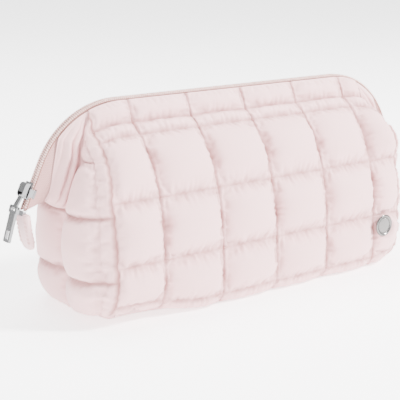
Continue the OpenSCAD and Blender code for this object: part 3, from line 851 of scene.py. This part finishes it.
# ---- stitches
def stitches(name, lines, length=2.5, gap=1.2, radius=0.22, lift=0.15):
    """Separate stitches along lines of (points, outward normals)."""
    centres, along, up = [], [], []
    for points, normals in lines:
        marks = np.concatenate([[0], np.cumsum(np.linalg.norm(np.diff(points, axis=0), axis=1))])
        at = np.arange(gap, marks[-1] - gap, length + gap)
        here = points_at(at, marks, points)
        up.append(points_at(at, marks, normals))
        centres.append(here + up[-1] * lift)
        along.append(points_at(at + 0.6, marks, points) - here)
    places = (np.concatenate(found) for found in (centres, along, up))
    return capsules(name, *places, length, 2 * radius, 2 * radius, 6)


def panel_stitches(points):
    normals = grid_normals(points)
    lines = [(points[r], normals[r]) for r in panel_rows[1:-1]]
    lines += [(points[: panel_rows[-1], c], normals[: panel_rows[-1], c]) for c in panel_cols[1:-1]]
    return lines


def strip_stitches(lobe, strip, flip):
    """The topstitching of the flat strip beside a corner seam."""
    normals = grid_normals(lobe, flip)
    rows = [r for r in range(4, len(lobe) - 1) if lobe[r, 0, 2] < UP_TO_STRIP]
    return [(lobe[rows, strip[rows]], normals[rows, strip[rows]])]


front_stitches = stitches("front_stitching", panel_stitches(front_points))
back_stitches = stitches("back_stitching", panel_stitches(back_points))
corner_lines = strip_stitches(left_lobe, left_strip, True) + strip_stitches(right_lobe, right_strip, False)
turned_lines = [(turned(points), turned(normals)) for points, normals in corner_lines]
front_end_stitches = stitches("front_corner_topstitching", corner_lines, lift=0.25)
back_end_stitches = stitches("back_corner_topstitching", turned_lines, lift=0.25)


# ---- folded end tabs
TAB_LEAN = math.radians(9)
TAB_LENGTH = 25.0
TAB_HALF = 7.0
TAB_RINGS = 40
TAB_AROUND = 72
# Where the tab starts to thin and to round off, as shares of its length
TAB_THINS = 0.66
TAB_ROUNDS = 0.8
TAB_BOWS = 0.48


def tab_piece(side):
    """A strip of fabric folded in three and stitched down both long edges, with its rounded end down."""
    low, high = (np.array(c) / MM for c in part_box("left_end_tab" if side == LEFT else "right_end_tab"))
    top_x = high[0] - 2.0 if side == LEFT else low[0] + 2.0
    top = np.array([abs(top_x), 0, high[2] - 0.4])
    lean = np.array([-math.sin(TAB_LEAN), 0, -math.cos(TAB_LEAN)])
    out = np.array([math.cos(TAB_LEAN), 0, -math.sin(TAB_LEAN)])
    to_side = np.array([side, 1, 1])
    c, s = np.cos(circle(TAB_AROUND)), np.sin(circle(TAB_AROUND))
    rings = []
    for t in np.linspace(0.02, 1, TAB_RINGS):
        at = t * (TAB_LENGTH - 0.6)
        end = smooth((t - TAB_THINS) / (1 - TAB_THINS))
        rounding = math.sqrt(max(1 - (max(t - TAB_ROUNDS, 0) / (1 - TAB_ROUNDS)) ** 2.6, 0.012))
        half = TAB_HALF * rounding * (1.04 - 0.08 * t)
        thick = (1.9 - 0.5 * end) * (1 if t < 0.97 else 0.75)
        y = half * np.sign(c) * np.abs(c) ** 0.4
        n = thick * np.sign(s) * np.abs(s) ** 0.45
        # the fold's layers show as grooves along both edges
        edge = np.exp(-((np.abs(s) - 0.30) / 0.10) ** 2) * smooth((np.abs(c) - 0.7) / 0.2)
        y = y * (1 - 0.07 * edge)
        # the seam allowance makes a low step beside each line of stitches
        n = n * (1 - 0.16 * np.exp(-((np.abs(y) - half + 2.1) / 0.5) ** 2))
        n = n + 0.12 * np.sin(at / 2.1 + y) * np.sign(n)
        centre = top + lean * at + np.array([TAB_BOWS * math.sin(math.pi * t), 0, 0])
        rings.append((centre + out * n[:, None] + np.array([0, 1.0, 0]) * y[:, None]) * to_side)
    name = "left_folded_tab" if side == LEFT else "right_folded_tab"
    rings = np.array(rings)
    if side == LEFT:
        rings = rings[:, ::-1]
    piece = ring_mesh(name, rings[None])
    sub = piece.modifiers.new("smooth", "SUBSURF")
    sub.levels = sub.render_levels = 1
    at = np.linspace(1.5, TAB_LENGTH * 0.78, 30)
    lines = []
    for face in (1, -1):
        for inset in (0.9, 2.6):
            for edge in (1, -1):
                points = top + lean * at[:, None] + out * face * 1.72
                points[:, 0] += TAB_BOWS * np.sin(math.pi * at / TAB_LENGTH)
                points[:, 1] = edge * (TAB_HALF - 0.2 - inset)
                lines.append((points * to_side, np.tile(out * face * to_side, (len(at), 1))))
    sewn = stitches(name + "_stitching", lines, length=1.9, gap=0.8, radius=0.2)
    return piece, sewn


left_tab, left_tab_sewn = tab_piece(LEFT)
right_tab, right_tab_sewn = tab_piece(RIGHT)


# ---- badge
BADGE_AROUND = 96
BEADS = 32


def badge_circle(share, height, count):
    """Points of a circle on the badge, at a share of its radius and a height above its back."""
    r, turn = share * badge_r, circle(count)
    y = np.full(count, badge_face + BADGE_THICKNESS - height)
    return np.stack([badge_centre[0] + r * np.cos(turn), y, badge_centre[2] + r * np.sin(turn)], 1)


def badge_piece():
    """A plain round badge: a raised rim, a groove and a low dome with a ring of small beads."""
    # profile as (radius share, height above the back)
    profile = [
        (0.0, 0.2), (0.86, 0.2), (0.97, 0.3), (1.0, 0.7), (0.985, 1.2), (0.93, 1.55),
        (0.86, 1.6), (0.81, 1.45), (0.785, 1.1), (0.76, 1.02), (0.72, 1.06), (0.68, 1.1),
        (0.64, 1.06), (0.60, 1.12), (0.40, 1.34), (0.2, 1.44), (0.0, 1.47),
    ]
    rings = [badge_circle(max(share, 0.004), height, BADGE_AROUND) for share, height in profile]
    return ring_mesh("round_badge", np.array(rings)[None])


badge = badge_piece()
bead_turn = circle(BEADS)
bead_way = np.stack([-np.sin(bead_turn), np.zeros(BEADS), np.cos(bead_turn)], 1)
bead_up = np.tile(np.array([0.0, -1.0, 0.0]), (BEADS, 1))
badge_beads = capsules("badge_beads", badge_circle(0.70, 1.1, BEADS), bead_way, bead_up, 0.8, 0.7, 0.7)


# ---- materials
def node_material(name):
    material = bpy.data.materials.new(name)
    material.use_nodes = True
    tree = material.node_tree
    return material, tree, tree.nodes["Principled BSDF"]


def add(tree, kind, **inputs):
    node = tree.nodes.new(kind)
    for key, value in inputs.items():
        node.inputs[key.replace("_", " ")].default_value = value
    return node


def math_node(tree, operation, a, b=None):
    node = tree.nodes.new("ShaderNodeMath")
    node.operation = operation
    for socket, value in zip(node.inputs, (a, b)):
        if value is None:
            continue
        if isinstance(value, (int, float)):
            socket.default_value = value
        else:
            tree.links.new(value, socket)
    return node.outputs[0]


def mixed(tree, share, one, two):
    node = tree.nodes.new("ShaderNodeMix")
    node.data_type = "RGBA"
    for socket, value in ((node.inputs[0], share), (node.inputs[6], one), (node.inputs[7], two)):
        if isinstance(value, (int, float, tuple)):
            socket.default_value = value
        else:
            tree.links.new(value, socket)
    return node.outputs[2]


def object_place(tree):
    return tree.nodes.new("ShaderNodeTexCoord").outputs["Object"]


def cloth_uv(tree):
    uv = tree.nodes.new("ShaderNodeUVMap")
    uv.uv_map = "cloth"
    return uv.outputs[0]


def noise(tree, where, **inputs):
    node = add(tree, "ShaderNodeTexNoise", **inputs)
    tree.links.new(where, node.inputs["Vector"])
    return node.outputs["Fac"]


def uneven(tree, share, amount, least):
    """A value that varies with a share, from the least up."""
    value = math_node(tree, "MULTIPLY_ADD", share, amount)
    value.node.inputs[2].default_value = least
    return value


def raised(tree, shader, height, strength, distance):
    relief = add(tree, "ShaderNodeBump", Strength=strength, Distance=distance)
    tree.links.new(height, relief.inputs["Height"])
    tree.links.new(relief.outputs[0], shader.inputs["Normal"])


def darker(colour, share):
    return tuple(c * share for c in colour[:3]) + (1.0,)


def srgb(r, g, b):
    """A colour given as 0-255 screen values, as linear values for a shader."""
    linear = [c / 255 / 12.92 if c <= 10 else ((c / 255 + 0.055) / 1.055) ** 2.4 for c in (r, g, b)]
    return (*linear, 1.0)


def weave_height(tree, place, threads):
    """Height of a plain weave with that many threads in a unit of place."""
    parts = tree.nodes.new("ShaderNodeSeparateXYZ")
    tree.links.new(place, parts.inputs[0])
    turns = threads * 2 * math.pi
    waves = [math_node(tree, "SINE", math_node(tree, "MULTIPLY", way, turns)) for way in parts.outputs[:2]]
    return math_node(tree, "MULTIPLY", *waves)


def fabric(name, colour, crease, rough=0.62, sheen=0.35, threads=22.0, bump=0.25, fold_shading=0.85):
    """Woven nylon: a fine weave, small wrinkles, slow changes of tone and painted shade in its folds and
    along its seams.
    """
    material, tree, shader = node_material(name)
    where = object_place(tree)
    shade = noise(tree, where, Scale=26.0, Detail=4.0, Roughness=0.6)
    lighter = mixed(tree, shade, darker(colour, 0.94), colour)
    # Painted shade: the fold attribute darkens the colour towards the crease colour in folds and along seams
    fold = tree.nodes.new("ShaderNodeAttribute")
    fold.attribute_name = "fold"
    deep = math_node(tree, "MAXIMUM", fold.outputs["Fac"], 0.0)
    deep = math_node(tree, "MULTIPLY", math_node(tree, "POWER", deep, 0.8), fold_shading)
    tree.links.new(mixed(tree, deep, lighter, crease), shader.inputs["Base Color"])
    shader.inputs["Sheen Weight"].default_value = sheen
    shader.inputs["Sheen Roughness"].default_value = 0.4
    shader.inputs["Sheen Tint"].default_value = (1.0, 0.9, 0.92, 1.0)
    shader.inputs["Specular IOR Level"].default_value = 0.35
    grain = noise(tree, where, Scale=900.0, Detail=2.0)
    tree.links.new(uneven(tree, grain, 0.2, rough - 0.1), shader.inputs["Roughness"])
    wrinkle = noise(tree, where, Scale=170.0, Detail=3.0, Roughness=0.55)
    height = math_node(tree, "ADD", weave_height(tree, cloth_uv(tree), threads * 10), wrinkle)
    raised(tree, shader, height, bump, 0.00025)
    return material


def tape_weave(name, colour, shadow):
    """Knitted zip tape: fine ribs along it, crossed by a chevron."""
    material, tree, shader = node_material(name)
    parts = tree.nodes.new("ShaderNodeSeparateXYZ")
    tree.links.new(cloth_uv(tree), parts.inputs[0])
    along, across = parts.outputs[0], parts.outputs[1]
    zigzag = math_node(tree, "PINGPONG", math_node(tree, "MULTIPLY", across, 100.0), 1.0)
    slope = math_node(tree, "ADD", math_node(tree, "MULTIPLY", along, 100.0), zigzag)
    rib = math_node(tree, "SINE", math_node(tree, "MULTIPLY", slope, 2 * math.pi * 0.9))
    cord = math_node(tree, "SINE", math_node(tree, "MULTIPLY", across, 2 * math.pi * 110))
    height = math_node(tree, "ADD", rib, math_node(tree, "MULTIPLY", cord, 0.6))
    tree.links.new(mixed(tree, uneven(tree, height, 0.22, 0.5), shadow, colour), shader.inputs["Base Color"])
    shader.inputs["Roughness"].default_value = 0.7
    shader.inputs["Sheen Weight"].default_value = 0.25
    raised(tree, shader, height, 0.6, 0.0003)
    return material


def plastic(name, colour, dark, rough=0.35, grain=600.0):
    material, tree, shader = node_material(name)
    speckle = noise(tree, object_place(tree), Scale=grain, Detail=3.0)
    tree.links.new(mixed(tree, speckle, dark, colour), shader.inputs["Base Color"])
    shader.inputs["Roughness"].default_value = rough
    raised(tree, shader, speckle, 0.15, 0.0002)
    return material


def metal(name, colour, rough=0.2, brushed=0.0, grain=1400.0):
    """Plated metal with fine scratches and a little dullness that varies over it."""
    material, tree, shader = node_material(name)
    stretch = add(tree, "ShaderNodeMapping", Scale=(1.0, 1.0, 1.0 + brushed))
    tree.links.new(object_place(tree), stretch.inputs["Vector"])
    scratches = noise(tree, stretch.outputs[0], Scale=grain, Detail=5.0, Roughness=0.65)
    shader.inputs["Metallic"].default_value = 1.0
    tree.links.new(mixed(tree, scratches, darker(colour, 0.86), colour), shader.inputs["Base Color"])
    tree.links.new(uneven(tree, scratches, 0.22, rough - 0.08), shader.inputs["Roughness"])
    raised(tree, shader, scratches, 0.06, 0.0001)
    return material


PINK = srgb(232, 186, 186)
# Colour of the painted shade in the folds and seams of the quilt and the tabs
CREASE_SHADE = srgb(122, 54, 44)
quilt = fabric("quilted_nylon", PINK, CREASE_SHADE)
LINING_PINK = srgb(222, 186, 188)
# The lining's second colour is painted shade in its folds
lining_cloth = fabric("lining_taffeta", LINING_PINK, srgb(170, 112, 112), rough=0.45, sheen=0.2, threads=16.0)
tab_cloth = fabric("tab_nylon", srgb(226, 188, 188), CREASE_SHADE, rough=0.66, threads=14.0, bump=0.5)
tape_cloth = tape_weave("zip_tape_weave", srgb(226, 178, 174), srgb(178, 124, 118))
teeth_plastic = plastic("zip_coil_nylon", srgb(236, 206, 198), srgb(216, 176, 168), rough=0.32)
# Dark brown: the stitched cord's colour with painted shade between the coil and the tape
cord_and_painted_shade = plastic("zip_cord_and_painted_shade", srgb(152, 102, 90), srgb(120, 74, 64), rough=0.7)
thread = plastic("sewing_thread", srgb(214, 166, 164), srgb(190, 136, 132), rough=0.6)
nickel = metal("polished_nickel", (0.22, 0.22, 0.225, 1.0), rough=0.16)
dark_nickel = metal("end_stop_nickel", (0.36, 0.36, 0.37, 1.0), rough=0.28)
steel = metal("spring_steel", (0.52, 0.52, 0.54, 1.0), rough=0.3, brushed=3.0)
badge_metal = metal("badge_nickel", (0.17, 0.165, 0.16, 1.0), rough=0.2, brushed=0.5, grain=900.0)
cap_plastic = plastic("wire_cap_plastic", srgb(236, 232, 226), srgb(214, 208, 200))


def finish_piece(obj, material, slot, *nodes):
    obj.data.materials.clear()
    obj.data.materials.append(material)
    if nodes:
        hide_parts(*nodes)


def bend_with(obj):
    """The piece's placement baked into its mesh."""
    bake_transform(obj)


# Every piece with its finish, its slot, the half of the mouth it follows and the CAD nodes it stands for
PIECES = [
    (
        front_panel, quilt, "quilted_fabric", FRONT,
        "front_panel", "front_wadding", "front_top_row", "front_top_row_wadding", "front_mouth_band",
    ),
    (
        back_panel, quilt, "quilted_fabric", BACK,
        "back_panel", "back_wadding", "back_top_row", "back_top_row_wadding", "back_mouth_band",
    ),
    (
        ends["left_front_gusset"], quilt, "quilted_fabric", FRONT,
        "left_gusset", "left_gusset_pleats", "front_left_fin",
    ),
    (ends["left_back_gusset"], quilt, "quilted_fabric", BACK, "left_gusset_wadding", "back_left_fin"),
    (
        ends["right_front_gusset"], quilt, "quilted_fabric", FRONT,
        "right_gusset", "right_gusset_pleats", "front_right_fin",
    ),
    (ends["right_back_gusset"], quilt, "quilted_fabric", BACK, "right_gusset_wadding", "back_right_fin"),
    (base, quilt, "quilted_fabric", None, "base_panel", "base_wadding"),
    (front_lining, lining_cloth, "lining", FRONT, "lining_bag", "front_top_row_lining"),
    (back_lining, lining_cloth, "lining", BACK, "back_top_row_lining"),
    (front_tape, tape_cloth, "zip_tape", FRONT, "front_zip_tape"),
    (back_tape, tape_cloth, "zip_tape", BACK, "back_zip_tape"),
    (front_coil, teeth_plastic, "zip_coil", FRONT, "front_zip_coil"),
    (back_coil, teeth_plastic, "zip_coil", BACK, "back_zip_coil"),
    (front_cord, cord_and_painted_shade, "zip_tape", FRONT),
    (back_cord, cord_and_painted_shade, "zip_tape", BACK),
    (front_stitches, thread, "quilted_fabric", FRONT),
    (back_stitches, thread, "quilted_fabric", BACK),
    (front_end_stitches, thread, "quilted_fabric", FRONT),
    (back_end_stitches, thread, "quilted_fabric", BACK),
    (left_tab_sewn, thread, "tab_fabric", None),
    (right_tab_sewn, thread, "tab_fabric", None),
    (left_tab, tab_cloth, "tab_fabric", None, "left_end_tab"),
    (right_tab, tab_cloth, "tab_fabric", None, "right_end_tab"),
    (badge, badge_metal, "badge_metal", None, "badge"),
    (badge_beads, badge_metal, "badge_metal", None),
]
for piece, finish, slot, side, *nodes in PIECES:
    finish_piece(piece, finish, slot, *nodes)
    if side is None:
        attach(piece, "root")
    else:
        bend_with(piece)

CAD_FINISHES = {
    "slider_body": nickel, "slider_bridge": nickel, "pull_link": nickel, "pull_tab": nickel,
    "left_end_stop": dark_nickel, "right_end_stop": dark_nickel, "badge_washer": dark_nickel,
    "front_wire": steel, "back_wire": steel, "front_wire_tips": cap_plastic, "back_wire_tips": cap_plastic,
}
ROUNDED = {"slider_body": 0.22, "slider_bridge": 0.5, "pull_link": 0.25, "pull_tab": 0.35}
for node, finish in CAD_FINISHES.items():
    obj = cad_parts[node]
    obj.data.materials.clear()
    obj.data.materials.append(finish)
    if node in ROUNDED:
        edge = obj.modifiers.new("edges", "BEVEL")
        edge.width = ROUNDED[node] * MM
        edge.segments = 3
        edge.limit_method = "ANGLE"
        edge.angle_limit = math.radians(35)


# ---- camera, floor and light
def look_from(azimuth, elevation, distance, target, lens):
    a, e = math.radians(azimuth), math.radians(elevation)
    back = Vector((math.sin(a) * math.cos(e), -math.cos(a) * math.cos(e), math.sin(e)))
    data = bpy.data.cameras.new("camera")
    data.lens = lens
    data.sensor_width = 36
    camera = new_object("camera", data)
    camera.location = Vector(target) + back * distance
    camera.rotation_mode = "QUATERNION"
    camera.rotation_quaternion = (-back).to_track_quat("-Z", "Y")
    bpy.context.scene.camera = camera


look_from(azimuth=-36.9, elevation=13.9, distance=0.7636, target=(-0.0252, 0, 0.0603), lens=99.8)


LIT_POINT = Vector((0, 0, 0.06))


def area_light(name, place, size, power):
    data = bpy.data.lights.new(name, "AREA")
    data.shape = "DISK"
    data.size = size
    data.energy = power
    obj = new_object(name, data)
    obj.location = place
    obj.rotation_mode = "QUATERNION"
    obj.rotation_quaternion = (LIT_POINT - Vector(place)).to_track_quat("-Z", "Y")


area_light("key", (0.95, -0.95, 1.15), 0.3, 112)
area_light("fill", (-1.3, -0.5, 0.7), 1.0, 14)
area_light("top", (0.1, 0.4, 1.6), 1.2, 50)

WORLD_LIGHT = 1.35
FLOOR_GLOW = 2.0
FLOOR_HALF = 40
world = bpy.data.worlds.new("studio")
world.use_nodes = True
world.node_tree.nodes["Background"].inputs["Color"].default_value = (1.0, 1.0, 1.0, 1.0)
world.node_tree.nodes["Background"].inputs["Strength"].default_value = WORLD_LIGHT
bpy.context.scene.world = world

floor_mesh = bpy.data.meshes.new("floor")
floor_corners = [(x * FLOOR_HALF, y * FLOOR_HALF, 0) for x, y in ((-1, -1), (1, -1), (1, 1), (-1, 1))]
floor_mesh.from_pydata(floor_corners, [], [(0, 1, 2, 3)])
floor = new_object("floor", floor_mesh)
floor_material, _, floor_shader = node_material("floor")
floor_shader.inputs["Base Color"].default_value = (0.97, 0.97, 0.97, 1.0)
floor_shader.inputs["Roughness"].default_value = 0.8
floor_shader.inputs["Emission Color"].default_value = (1.0, 1.0, 1.0, 1.0)
floor_shader.inputs["Emission Strength"].default_value = FLOOR_GLOW
floor.data.materials.append(floor_material)
